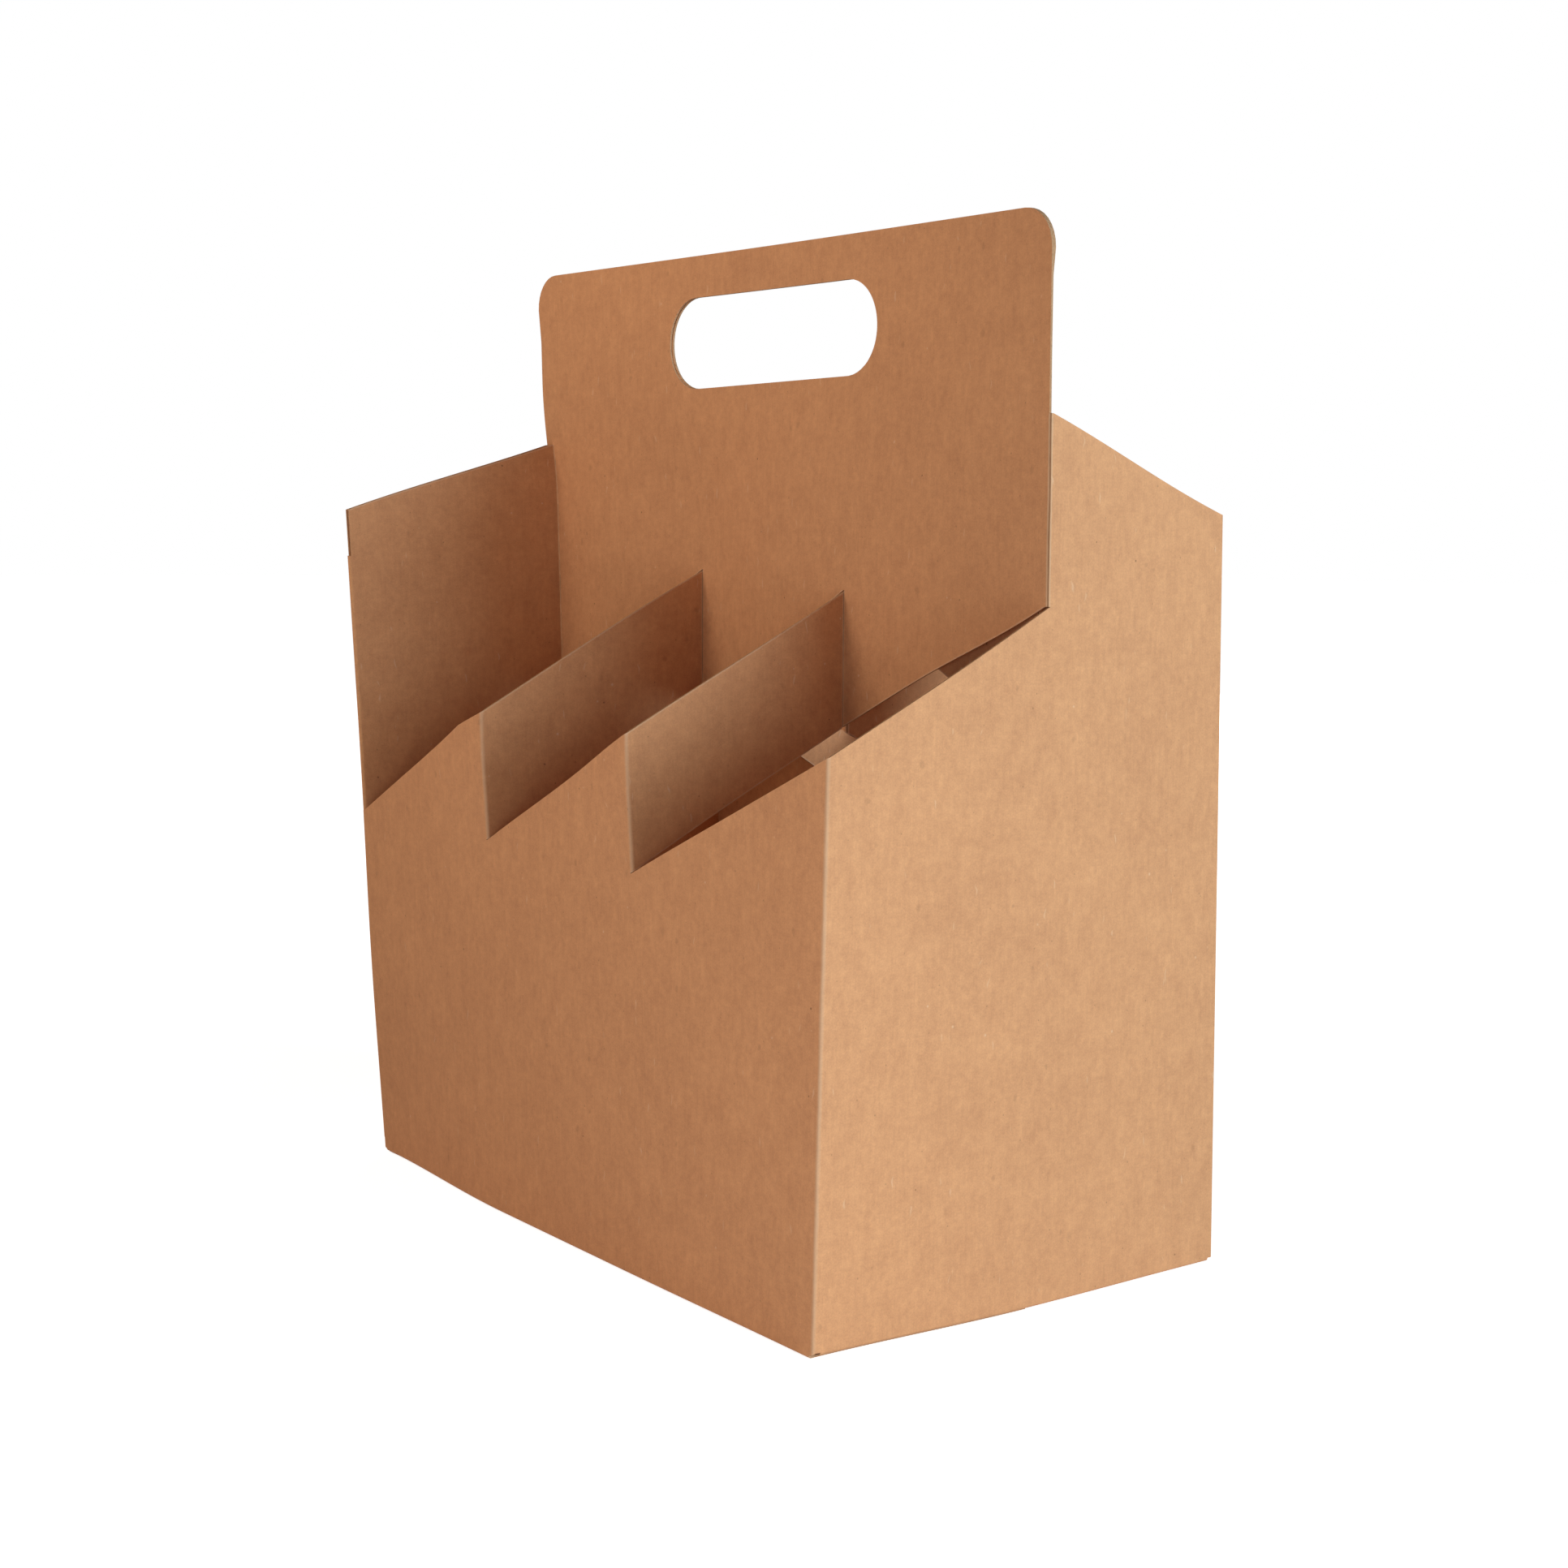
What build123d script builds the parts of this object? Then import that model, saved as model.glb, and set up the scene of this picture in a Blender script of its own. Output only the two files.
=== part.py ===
from build123d import *
import os
from math import asin, atan2, cos, degrees, hypot, sin

# Open carrier for six bottles, folded from two equal die-cut blanks of kraft board, in millimetres.
# X runs along the bottle rows, Y from front to back and Z up, with the origin under the middle.
# The front blank makes the front panel, the right end, the front ply of the centre board and the
# front dividers. The back blank is the same piece turned half round.

# Driving dimensions

# Length of a cell from divider to divider, and how far its cut runs on from the knee to the tip.
# A divider is cut out along the rest of the cell, so that rest is the depth of a cell too.
cell_length = 71.0
tip_run = 9.1
# What each end adds to the length of the three cells in a row
end_allowance = 4.5

# Thickness of the board, and the inside radius of its creases
board = 0.6
crease_inside = 0.3

# Heights along the sloping cuts: where a cut starts, what it rises from crease to crease, and how
# far under a tip it crosses the crease of the flat blank
foot_height = 100.0
cut_rise = 33.5
knee_drop = 3.5
# In the last cell the front panel is cut straight from foot to tip. The lower edge of its divider
# and ply is a second cut, straight along each, and crosses their crease that much over the others
last_cut_lift = 2.7

# Upper edges of the ends: the outer corner over the last cut, the middle over the corner, and the
# handle over the middle
corner_rise = 19.0
peak_rise = 21.0
handle_rise = 47.5

# Handle
handle_corner_radius = 9.5
handle_side_margin = 0.4
hand_hole_length = 92.0
hand_hole_height = 24.0
hand_hole_margin = 11.0

# Inner wing and glue flap at the corner where the two blanks are glued
wing_inset = 4.5
lap_gap = 0.4
end_setback = 1.0
glue_flap_width = 14.0
glue_flap_above_cut = 6.0
glue_flap_foot = 4.0
glue_flap_chamfer = 5.0

# Bottom flaps
bottom_relief = 1.0
seam_gap = 0.5
tongue_length = 46.0
tongue_lap = 14.0
tongue_ramp = 5.0
tongue_clearance = 2.0
small_flap_depth = 50.0
small_flap_taper = 12.0

# Worked-out values

half_board = board / 2
crease_radius = crease_inside + half_board

# Length of a divider between its two creases, as it lies in the flat blank
reach = cell_length - tip_run

# Places of the two dividers along the carrier, and half its outside length and depth
divider_places = [-cell_length / 2, cell_length / 2]
half_length = divider_places[1] + cell_length + end_allowance
half_depth = reach + board

knee_height = foot_height + cut_rise - knee_drop
last_knee_height = knee_height + last_cut_lift
tip_height = foot_height + cut_rise
ply_height = tip_height + cut_rise
corner_height = ply_height + corner_rise
peak_height = corner_height + peak_rise
handle_height = peak_height + handle_rise
glue_flap_top = ply_height + glue_flap_above_cut

# Middle planes of the upright panels
front_y = -half_depth + half_board
ply_y = -half_board
end_x = half_length - half_board
glue_flap_x = -half_length + board + half_board

# Where the straight panels end and their creases begin
front_start_x = glue_flap_x + crease_radius
front_end_x = end_x - crease_radius
side_start_y = front_y + crease_radius
ply_end_x = end_x - crease_radius
end_middle_y = ply_y + crease_radius
end_back_y = half_depth - end_setback
divider_front_y = front_y + crease_radius
divider_back_y = ply_y - crease_radius

# Levels of the bottom: the large flaps lie on the ground and the small flaps on top of them
large_flap_z = half_board
small_flap_z = board + half_board
front_foot = large_flap_z + crease_radius
end_foot = small_flap_z + crease_radius


def outline(points):
    """Closed flat shape with straight sides."""
    return make_face(Polyline(*points, close=True))


def standing_panel(start, end, shape):
    """Upright panel over the plan line from start to end, from a shape of (distance, height)."""
    along = Vector(end[0] - start[0], end[1] - start[1], 0).normalized()
    face_plane = Plane(
        origin=(start[0], start[1], 0),
        x_dir=along,
        z_dir=along.cross(Vector(0, 0, 1)),
    )
    return extrude(face_plane * shape, amount=half_board, both=True)


def upright_crease(centre, radius, first_angle, turn, low, high):
    """Upright crease: the board bent round a centre, between two heights."""
    middle_line = CenterArc(centre, radius, first_angle, turn)
    return Pos(0, 0, low) * extrude(trace(middle_line, board), amount=high - low)


def lying_panel(points, middle_z):
    """Flat horizontal panel about its middle height."""
    return Pos(0, 0, middle_z - half_board) * extrude(outline(points), amount=board)


def lying_crease(plane, centre, first_angle, low, high):
    """Quarter crease along the axis of a plane, between two places on that axis."""
    middle_line = CenterArc(centre, crease_radius, first_angle, 90)
    section = plane.offset(low) * trace(middle_line, board)
    return extrude(section, amount=high - low)


def front_panel():
    """Front wall: its upper edge rises from foot to tip in each cell, and in the last without a knee."""
    upper = [(front_start_x, foot_height)]
    for cell_start, cell_end in zip([glue_flap_x] + divider_places, divider_places):
        tip_x = cell_end - crease_radius
        upper.append((cell_start + reach, knee_height))
        upper.append((tip_x, tip_height))
        upper.append((tip_x, foot_height))
        upper.append((cell_end, foot_height))
    upper.append((front_end_x, tip_height))
    foot = [(front_end_x, front_foot), (front_start_x, front_foot)]
    shape = [(x - front_start_x, z) for x, z in upper + foot]
    return standing_panel((front_start_x, front_y), (front_end_x, front_y), outline(shape))


def right_end():
    """Right end: a low front half under its slope, and a high back half folded from the ply."""
    corner = upright_crease(
        (front_end_x, side_start_y), crease_radius, -90, 90, end_foot, tip_height
    )
    front_width = end_middle_y - side_start_y
    front_half_panel = standing_panel(
        (end_x, side_start_y),
        (end_x, end_middle_y),
        outline([(0, end_foot), (front_width, end_foot), (front_width, ply_height), (0, tip_height)]),
    )
    back_width = end_back_y - end_middle_y
    back_half_panel = standing_panel(
        (end_x, end_middle_y),
        (end_x, end_back_y),
        outline([(0, end_foot), (back_width, end_foot), (back_width, corner_height), (0, peak_height)]),
    )
    fold_from_ply = upright_crease(
        (ply_end_x, end_middle_y), crease_radius, -90, 90, ply_height, peak_height
    )
    return corner + front_half_panel + back_half_panel + fold_from_ply


# The inner wing runs between the tight fold of the glued corner and the crease of the ply. Its
# middle line touches both circles, with one of them on each side.
lap_radius = (board + lap_gap) / 2
lap_centre = (glue_flap_x + lap_radius, side_start_y)
wing_fold_centre = (-half_length + wing_inset + crease_radius, divider_back_y)
wing_run_x = wing_fold_centre[0] - lap_centre[0]
wing_run_y = wing_fold_centre[1] - lap_centre[1]
wing_lean = atan2(wing_run_x, wing_run_y) - asin(
    (lap_radius + crease_radius) / hypot(wing_run_x, wing_run_y)
)
wing_start = (
    lap_centre[0] + lap_radius * cos(wing_lean),
    lap_centre[1] - lap_radius * sin(wing_lean),
)
wing_end = (
    wing_fold_centre[0] - crease_radius * cos(wing_lean),
    wing_fold_centre[1] + crease_radius * sin(wing_lean),
)
wing_width = hypot(wing_end[0] - wing_start[0], wing_end[1] - wing_start[1])
ply_start_x = wing_fold_centre[0]


def inner_wing():
    """Wing at the left end, with its crease to the ply and its tight fold to the glue flap."""
    panel = standing_panel(
        wing_start,
        wing_end,
        outline(
            [
                (0, foot_height),
                (wing_width, knee_height),
                (wing_width, peak_height),
                (0, corner_height),
            ]
        ),
    )
    lean = degrees(wing_lean)
    fold_to_ply = upright_crease(
        wing_fold_centre, crease_radius, 90, 90 - lean, knee_height, peak_height
    )
    fold_to_flap = upright_crease(
        lap_centre, lap_radius, 180, 180 - lean, foot_height, glue_flap_top
    )
    return panel + fold_to_ply + fold_to_flap


def glue_flap():
    """Flap glued inside the end of the other blank, with its crease to the front panel."""
    crease = upright_crease(
        (front_start_x, side_start_y), crease_radius, 180, 90, glue_flap_foot, foot_height
    )
    width = glue_flap_width - crease_radius
    panel = standing_panel(
        (glue_flap_x, side_start_y),
        (glue_flap_x, side_start_y + width),
        outline(
            [
                (0, glue_flap_foot),
                (width, glue_flap_foot + glue_flap_chamfer),
                (width, glue_flap_top - glue_flap_chamfer),
                (0, glue_flap_top),
            ]
        ),
    )
    return crease + panel


def centre_ply():
    """Front ply of the centre board: sloping cuts over the cells, and the handle with its hole."""
    lower = []
    hinges = [ply_start_x - crease_radius] + divider_places
    for hinge, next_hinge in zip(hinges, divider_places):
        lower.append((hinge + crease_radius, knee_height))
        lower.append((next_hinge - reach, tip_height))
        lower.append((next_hinge, ply_height))
        lower.append((next_hinge + crease_radius, ply_height))
    lower.append((divider_places[-1] + crease_radius, last_knee_height))
    lower.append((ply_end_x, ply_height))
    handle_left = -half_length + handle_side_margin
    handle_right = half_length - handle_side_margin
    shoulder_height = handle_height - handle_corner_radius
    upper = [
        (ply_end_x, peak_height),
        (handle_right, peak_height),
        (handle_right, handle_height),
        (handle_left, handle_height),
        (handle_left, shoulder_height),
        (ply_start_x - crease_radius, peak_height),
        (ply_start_x, peak_height),
    ]
    shape = outline(lower + upper)
    top_corners = shape.vertices().group_by(Axis.Y)[-1]
    shape = fillet(top_corners, handle_corner_radius)
    hole_height = handle_height - hand_hole_margin - hand_hole_height / 2
    shape -= Pos(0, hole_height) * SlotOverall(hand_hole_length, hand_hole_height)
    return standing_panel((0, ply_y), (1, ply_y), shape)


def divider(place, knee):
    """Front divider: folded back at a tip of the front panel and into the centre ply at a knee."""
    tip_crease = upright_crease(
        (place - crease_radius, divider_front_y), crease_radius, -90, 90, foot_height, tip_height
    )
    width = divider_back_y - divider_front_y
    panel = standing_panel(
        (place, divider_front_y),
        (place, divider_back_y),
        outline([(0, foot_height), (width, knee), (width, ply_height), (0, tip_height)]),
    )
    ply_crease = upright_crease(
        (place + crease_radius, divider_back_y), crease_radius, 90, 90, knee, ply_height
    )
    return tip_crease + panel + ply_crease


def large_bottom_flap():
    """Large bottom flap, with the tongue that laps over the other blank's large flap."""
    left = -half_length + 2 * board + bottom_relief
    right = half_length - board - bottom_relief
    crease = lying_crease(Plane.YZ, (side_start_y, front_foot), 180, left, right)
    seam_y = -seam_gap / 2
    tongue_right = -tongue_clearance
    tongue_left = tongue_right - tongue_length
    flap = lying_panel(
        [
            (left, side_start_y),
            (right, side_start_y),
            (right, seam_y),
            (tongue_right, seam_y),
            (tongue_right, -tongue_ramp),
            (tongue_left, -tongue_ramp),
            (tongue_left, seam_y),
            (left, seam_y),
        ],
        large_flap_z,
    )
    tongue_section = outline(
        [
            (-tongue_ramp, 0),
            (0, board),
            (tongue_lap, board),
            (tongue_lap, 2 * board),
            (0, 2 * board),
            (-tongue_ramp, board),
        ]
    )
    tongue = extrude(Plane.YZ.offset(tongue_left) * tongue_section, amount=tongue_length)
    return crease + flap + tongue


def small_bottom_flap():
    """Small bottom flap of the right end, lying on the large flaps."""
    near = -half_depth + 2 * board + bottom_relief
    far = half_depth - 2 * board - bottom_relief
    crease = lying_crease(Plane.XZ, (front_end_x, end_foot), 270, -far, -near)
    inner_x = front_end_x - small_flap_depth
    flap = lying_panel(
        [
            (front_end_x, near),
            (front_end_x, far),
            (inner_x, far - small_flap_taper),
            (inner_x, near + small_flap_taper),
        ],
        small_flap_z,
    )
    return crease + flap


def folded_blank():
    """One whole blank, folded: the front half of the carrier."""
    blank = front_panel() + right_end() + inner_wing() + glue_flap() + centre_ply()
    for place, knee in zip(divider_places, [knee_height, last_knee_height]):
        blank += divider(place, knee)
    blank += large_bottom_flap()
    blank += small_bottom_flap()
    return blank


front_half = folded_blank()
back_half = Rot(0, 0, 180) * front_half

os.makedirs("parts", exist_ok=True)
export_step(front_half, "parts/front_half.step")
export_step(back_half, "parts/back_half.step")
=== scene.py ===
import math
from types import SimpleNamespace

import bmesh
import bpy
import numpy as np
from mathutils import Matrix, Vector


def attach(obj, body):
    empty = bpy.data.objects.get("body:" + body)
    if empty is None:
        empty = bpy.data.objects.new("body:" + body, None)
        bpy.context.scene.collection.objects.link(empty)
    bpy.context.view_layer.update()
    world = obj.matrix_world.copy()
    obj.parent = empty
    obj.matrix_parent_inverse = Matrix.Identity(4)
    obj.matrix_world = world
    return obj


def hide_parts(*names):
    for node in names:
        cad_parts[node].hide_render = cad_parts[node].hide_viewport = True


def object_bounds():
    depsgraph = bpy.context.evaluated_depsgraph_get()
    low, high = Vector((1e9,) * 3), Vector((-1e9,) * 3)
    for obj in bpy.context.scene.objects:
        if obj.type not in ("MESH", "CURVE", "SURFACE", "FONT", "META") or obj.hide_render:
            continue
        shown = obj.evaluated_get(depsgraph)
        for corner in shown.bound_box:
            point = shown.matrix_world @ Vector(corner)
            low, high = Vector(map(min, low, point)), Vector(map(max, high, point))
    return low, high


# Open carrier for six bottles, folded from two equal die-cut blanks of kraft board, in metres.
# X runs along the bottle rows, Y from front to back and Z up. Each blank is one sheet: its panels
# are grids of points that share the points along their creases, and the sheet then gets its board.

bl_info = {
    "name": "Six-bottle board carrier",
    "version": (1, 0, 0),
    "blender": (4, 5, 0),
    "location": "View3D > Sidebar > Carrier",
    "description": "Folds an open bottle carrier with a centre handle from two kraft board blanks",
    "category": "Add Mesh",
}

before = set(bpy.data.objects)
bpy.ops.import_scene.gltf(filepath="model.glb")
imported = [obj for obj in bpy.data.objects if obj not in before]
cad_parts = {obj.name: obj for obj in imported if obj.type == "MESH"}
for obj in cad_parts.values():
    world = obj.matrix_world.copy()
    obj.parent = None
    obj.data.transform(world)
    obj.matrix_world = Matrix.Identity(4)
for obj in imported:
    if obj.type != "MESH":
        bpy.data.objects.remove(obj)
frame_low, frame_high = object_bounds()
MILLIMETRE = 0.001


def number(name, description, default, **limits):
    """Number that a user can change."""
    return bpy.props.FloatProperty(name=name, description=description, default=default, **limits)


def mm(name, description, default, low=0.0):
    """Length, given in millimetres here and kept in metres."""
    size = default * MILLIMETRE
    least = low * MILLIMETRE
    return number(name, description, size, min=least, precision=4, unit="LENGTH")


def degrees(name, description, default):
    """Angle, given in degrees here and kept in radians."""
    return number(name, description, math.radians(default), subtype="ANGLE")


def fraction(name, description, default):
    """Number from nought to one."""
    return number(name, description, default, min=0.0, max=1.0)


def linear_colour(name, description, default):
    """Colour that a user can change."""
    return bpy.props.FloatVectorProperty(
        name=name,
        description=description,
        default=default,
        subtype="COLOR",
        size=3,
        min=0.0,
        max=1.0,
    )


class CarrierSizes(bpy.types.PropertyGroup):
    """Sizes of the blank and of its creases."""

    cell_length: mm("Cell length", "From divider to divider", 71.0)
    tip_run: mm("Tip run", "Length of a cut past its knee", 9.1)
    board: mm("Board", "Thickness of the board", 0.6)
    crease_inside: mm("Crease radius", "Inside radius of a crease", 0.3)
    foot_height: mm("Foot height", "Where a sloping cut starts", 100.0)
    cut_rise: mm("Cut rise", "Rise of a cut from crease to crease", 33.5)
    knee_drop: mm("Knee drop", "Height of a knee under its tip", 3.5)
    front_knee_drop: mm("Front knee drop", "Height of a front panel's knee under its tip", 4.0)
    last_lift: mm("Last cut lift", "Second cut of the last cell over the others", 2.7)
    corner_rise: mm("Corner rise", "Outer corner over the last cut", 19.0)
    peak_rise: mm("Peak rise", "Middle of an end over its corner", 21.0)
    handle_corner: mm("Handle corner", "Radius of the handle's corners", 9.5)
    handle_margin: mm("Handle margin", "Handle's side inside the ends", 0.4)
    hole_length: mm("Hole length", "Length of the hand hole", 92.0)
    hole_height: mm("Hole height", "Height of the hand hole", 24.0)
    hole_margin: mm("Hole margin", "Board over the hand hole", 11.0)
    wing_inset: mm("Wing inset", "Crease of the inner wing inside the end", 4.5)
    lap_gap: mm("Lap gap", "Room inside the tight fold", 0.4)
    end_setback: mm("End setback", "Free edge of an end inside the corner", 1.0)
    glue_width: mm("Glue flap width", "Width of the glue flap", 14.0)
    glue_above: mm("Glue flap top", "Glue flap's top over the ply's cut", 6.0)
    glue_foot: mm("Glue flap foot", "Height of the glue flap's foot", 4.0)
    glue_chamfer: mm("Glue flap chamfer", "Slant of the glue flap's ends", 5.0)
    bottom_relief: mm("Bottom relief", "Room at the bottom flaps' sides", 1.0)
    seam_gap: mm("Seam gap", "Gap between the large bottom flaps", 0.5)
    tongue_length: mm("Tongue length", "Length of the locking tongue", 46.0)
    tongue_lap: mm("Tongue lap", "Lap of the tongue past the seam", 14.0)
    tongue_ramp: mm("Tongue ramp", "Length over which the tongue rises", 5.0)
    tongue_clearance: mm("Tongue clearance", "Tongue beside the middle", 2.0)
    small_flap_depth: mm("Small flap depth", "Depth of a small bottom flap", 50.0)
    small_flap_taper: mm("Small flap taper", "Slant of a small flap's two sides", 12.0)
    ply_parting: mm("Ply parting", "Air between boards that are glued", 0.03)
    pitch: mm("Pitch", "Spacing of the points on a panel", 2.4)


class CarrierSlack(bpy.types.PropertyGroup):
    """How far the slack board stands off the stiff shape."""

    end_reach: mm("End reach", "Where the ends' slack begins, from the middle", 30.0)
    lean_pivot: mm("Lean pivot", "Height at which the left end keeps its place", 110.0)
    end_lean: fraction("End lean", "Outward slope of the left end", 0.038)
    corner_lean: fraction("Corner lean", "Forward slope of the front left corner", 0.032)
    back_corner_x: mm("Back corner X", "Back right corner inwards", 1.0)
    back_corner_y: mm("Back corner Y", "Back right corner forwards", 0.3)
    back_corner_lean: fraction("Back corner lean", "Inward slope of the back right corner", 0.008)
    front_corner_x: mm("Front corner X", "Front right corner inwards", 2.6)
    front_corner_y: mm("Front corner Y", "Front right corner backwards", 0.5)
    front_corner_lean: fraction("Front corner lean", "Backward slope of the front right corner", 0.024)
    bow_width: mm("Bow width", "Half width of each bow of the centre board", 34.0)
    belly_left_end: mm("Left end bow", "Bow at the left end", 3.6)
    belly_left: mm("Left bow", "Bow at the left dividers", 6.1)
    belly_right: mm("Right bow", "Bow at the right dividers", 1.0)
    belly_right_end: mm("Right end bow", "Bow at the right end", 2.0)
    belly_foot: mm("Bow foot", "Height at which the bows begin", 30.0)
    lift_left_end: mm("Left end lift", "Cut edges raised at the left end", 2.9)
    lift_left: mm("Left lift", "Cut edges raised at the left dividers", 4.4)
    lift_right: mm("Right lift", "Cut edges raised at the right dividers", -0.5, low=-10.0)
    lift_right_end: mm("Right end lift", "Cut edges raised at the right end", -2.6, low=-10.0)
    lift_height: mm("Lift height", "Height at which cut edges are raised most", 150.0)
    lift_band: mm("Lift band", "Half height of the raised band", 30.0)
    handle_foot: mm("Handle foot", "Height at which the handle's bow begins", 190.0)
    handle_full: mm("Handle full", "Height at which the handle's bow is full", 225.0)
    handle_back: mm("Handle bow", "Handle's middle behind its line", 2.8)
    handle_right: mm("Handle right", "Handle to the right of its line", 0.8)
    bulge: mm("Left bulge", "Front left corner outwards, low down", 1.3)
    bulge_height: mm("Bulge height", "Height of the bulge", 55.0)
    bulge_band: mm("Bulge band", "Half height of the bulge", 40.0)
    peak_band: mm("Peak band", "Half height of the band of tilted peaks", 22.0)
    peak_tilt: mm("Peak tilt", "Right peak raised and left peak lowered", 1.7)
    parting: mm("Parting", "Back ply off the front ply in the last cell", 4.5)
    parting_place: mm("Parting place", "Middle of the parting along the cells", 80.0)
    parting_width: mm("Parting width", "Half width of the parting", 26.0)
    parting_height: mm("Parting height", "Height at which the plies stand off most", 148.0)
    parting_band: mm("Parting band", "Half height of the parting", 30.0)
    back_lift_left: mm("Back left lift", "Left back divider's lower edge raised", 2.2)
    back_lift_right: mm("Back right lift", "Right back divider's lower edge raised", 1.3)
    back_lift_height: mm("Back lift height", "Height at which they are raised most", 118.0)
    back_lift_band: mm("Back lift band", "Half height of that band", 22.0)
    back_shift_left: mm("Back left shift", "Left back divider to the right", 0.5)
    back_shift_right: mm("Back right shift", "Right back divider to the right", 0.75)
    tip_foot: mm("Tip foot", "Height at which the tips' lean begins", 90.0)
    tip_width: mm("Tip width", "Half width of a leaning tip", 22.0)
    tip_lean: mm("Tip lean", "Outward lean of a tip", 1.9)


class CarrierFinish(bpy.types.PropertyGroup):
    """Colours and markings of the kraft board."""

    face: linear_colour("Face", "Colour of the board's faces", (0.66, 0.336, 0.170))
    edge: linear_colour("Cut edge", "Colour of the raw cut edges", (0.52, 0.31, 0.18))
    # The speck colour is also the painted shade in the hinges' grooves.
    speck_and_shade: linear_colour("Speck", "Colour of the dark specks", (0.16, 0.07, 0.03))
    # The fibre colour is also the painted highlight along folds and on the hinges' lips.
    fibre_and_highlight: linear_colour("Fibre", "Colour of the pale fibres", (0.80, 0.58, 0.40))
    clouding: fraction("Clouding", "Tone of patches some centimetres wide", 0.22)
    mottling: fraction("Mottling", "Tone of spots some millimetres wide", 0.30)
    flocking: fraction("Flocking", "Tone of spots a millimetre or two wide", 0.30)
    streaking: fraction("Streaking", "Tone of the fine upright streaks", 0.15)
    graining: fraction("Graining", "Tone of the finest grain", 0.36)
    tone_spread: linear_colour("Tone spread", "Red, green and blue share of a tone", (0.82, 1.0, 1.0))
    roughness: fraction("Roughness", "Roughness of the faces", 0.78)


class CarrierStage(bpy.types.PropertyGroup):
    """Camera at the photograph's viewing angle."""

    lens: number("Lens", "Focal length of the camera", 55.32, min=1.0)
    azimuth: degrees("Azimuth", "Turn of the camera round the carrier", 53.62)
    elevation: degrees("Elevation", "Height of the camera over the horizon", 7.36)
    roll: degrees("Roll", "Turn of the camera about its own line of sight", -0.306)
    distance: mm("Distance", "From the camera to the carrier", 640.84)
    aim_height: mm("Aim height", "Height that the camera looks at", 118.4)
    aim_right: mm("Aim right", "Camera's place to the right", 11.914)
    aim_down: mm("Aim down", "Camera's place downwards", 13.394)
    shift_x: number("Shift X", "Sideways shift of the lens", -0.01294)
    shift_y: number("Shift Y", "Upward shift of the lens", 0.02216)


def work_out(sizes):
    """Places of panels, creases and cuts, worked out from the sizes and the frame's own box."""
    s = sizes
    p = SimpleNamespace(board=s.board, foot=s.foot_height)
    p.half_length, p.half_depth, p.top = frame_high
    p.dividers = -s.cell_length / 2, s.cell_length / 2
    p.reach = s.cell_length - s.tip_run
    half_board = s.board / 2
    p.radius = s.crease_inside + half_board
    p.tip = p.foot + s.cut_rise
    p.knee = p.tip - s.knee_drop
    p.ply_cut = p.tip + s.cut_rise
    p.glue_top = p.ply_cut + s.glue_above
    p.corner = p.ply_cut + s.corner_rise
    p.peak = p.corner + s.peak_rise
    p.glue_x = -p.half_length + p.board + half_board
    p.front_start = p.glue_x + p.radius
    p.end_x = p.half_length - half_board
    p.front_end = p.end_x - p.radius
    p.front_y = -p.half_depth + half_board
    p.near_y = p.front_y + p.radius
    p.ply_y = -half_board
    p.far_y = p.ply_y - p.radius
    p.middle_y = p.ply_y + p.radius
    p.back_y = p.half_depth - s.end_setback
    p.flap_z = half_board
    p.front_foot = p.flap_z + p.radius
    p.small_flap_z = p.board + half_board
    p.end_foot = p.small_flap_z + p.radius
    p.flap_left = -p.half_length + 2 * p.board + s.bottom_relief
    p.flap_right = p.half_length - p.board - s.bottom_relief
    p.flap_far = p.half_depth - 2 * p.board - s.bottom_relief
    p.tongue_left = -s.tongue_clearance - s.tongue_length
    p.tongue_right = -s.tongue_clearance
    return p


# Rows of faces between the levels that neighbouring panels share
HEM_ROWS = 1
WALL_ROWS = 40
CUT_ROWS = 28
LAP_ROWS = 3
PEAK_ROWS = 14
HANDLE_ROWS = 16
HANDLE_CORNER_ROWS = 9
RING_ROWS = 7
SEAM_ROWS = 2
TONGUE_ROWS = 7
RAMP_ROWS = 5
BEND_STEPS = 6

# Spacing of the points beside a crease, from the crease outwards
CREASE_SPACING = np.array([0.25, 0.6, 1.1, 1.7]) * MILLIMETRE
LEAST_SPACING = 0.15 * MILLIMETRE

# Points nearer than the first are one place. Nearer than the second, they are joined in the mesh.
TOLERANCE = 0.0001 * MILLIMETRE
JOIN_WITHIN = 0.02 * MILLIMETRE
LEAST_EDGE = 0.005 * MILLIMETRE

# Distance from a crease or a cut that stands for none near
NONE_NEAR = 1.0

# Angle from which an edge between two faces is drawn sharp
SHARP_ANGLE = math.radians(35)


def between(places, low, high):
    """Those of a row of places that lie from low to high, both included."""
    return places[(places >= low - TOLERANCE) & (places <= high + TOLERANCE)]


def columns(start, end, pitch, fixed=(), fine_start=False, fine_end=False):
    """Places at about the pitch from start to end, through fixed ones and closer beside creases."""
    stops = np.array([start, *sorted(fixed), end])
    places = []
    for low, high in zip(stops, stops[1:]):
        count = max(1, round((high - low) / pitch))
        places.append(np.linspace(low, high, count + 1)[1:-1])
    if fine_start:
        places.append(start + CREASE_SPACING)
    if fine_end:
        places.append(end - CREASE_SPACING)
    for stop in fixed:
        places += [stop + CREASE_SPACING, stop - CREASE_SPACING]
    free = np.sort(np.concatenate(places))
    free = free[(free > start) & (free < end)]
    free = free[np.abs(free[:, None] - stops).min(1) > LEAST_SPACING]
    free = free[np.diff(free, prepend=-np.inf) > LEAST_SPACING]
    return np.sort(np.concatenate([stops, free]))


def straight(x, y):
    """Path in plan along X or along Y: one of the two is a row of places, the other one number."""
    return np.broadcast_arrays(x, y)


def bend(centre, radius, first_angle, last_angle):
    """Points of an arc in plan, from its centre, radius and two angles in degrees."""
    turn = np.radians(np.linspace(first_angle, last_angle, BEND_STEPS + 1))
    return centre[0] + radius * np.cos(turn), centre[1] + radius * np.sin(turn)


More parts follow.
